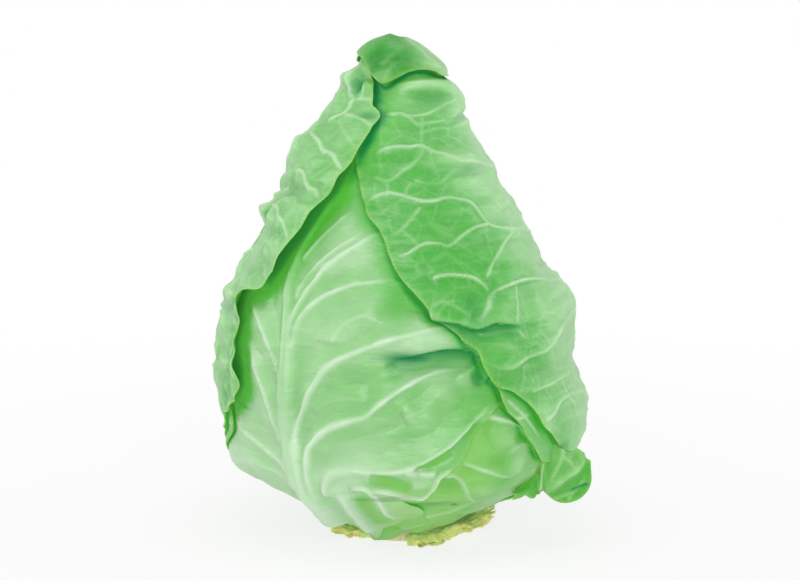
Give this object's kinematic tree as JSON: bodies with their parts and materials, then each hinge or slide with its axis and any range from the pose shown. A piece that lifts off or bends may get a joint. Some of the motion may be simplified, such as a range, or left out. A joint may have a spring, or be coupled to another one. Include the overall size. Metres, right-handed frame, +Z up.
{
  "type": "pointed cabbage",
  "caption": "Pointed cabbage with overlapping veined leaves closing to a folded tip, standing upright on its flat cut stem.",
  "frame": {"origin": "centre of the bounding box at the height of the cut stem's flat face, which is what it stands on", "axes": "+Z up the head towards its point, -Y the front, +X to the right seen from the front"},
  "size_m": [0.162, 0.1498, 0.2152],
  "materials": {
    "cut_stem": "matte",
    "pale_leaf": "satin",
    "green_leaf": "satin"
  },
  "bodies": {
    "root": {"stem": "cut_stem", "heart": "pale_leaf", "lower_front_leaf": "pale_leaf", "front_leaf": "pale_leaf", "left_under_leaf": "pale_leaf", "right_under_leaf": "pale_leaf", "right_leaf": "green_leaf", "left_leaf": "green_leaf", "tip_leaf": "green_leaf", "back_leaf": "green_leaf", "lower_right_leaf": "green_leaf", "stalk_stub_1": "cut_stem", "stalk_stub_2": "cut_stem", "stalk_stub_3": "cut_stem", "stalk_stub_4": "cut_stem", "stalk_stub_5": "cut_stem", "stalk_stub_6": "cut_stem", "stalk_stub_7": "cut_stem", "stalk_stub_8": "cut_stem"}
  },
  "joints": []
}
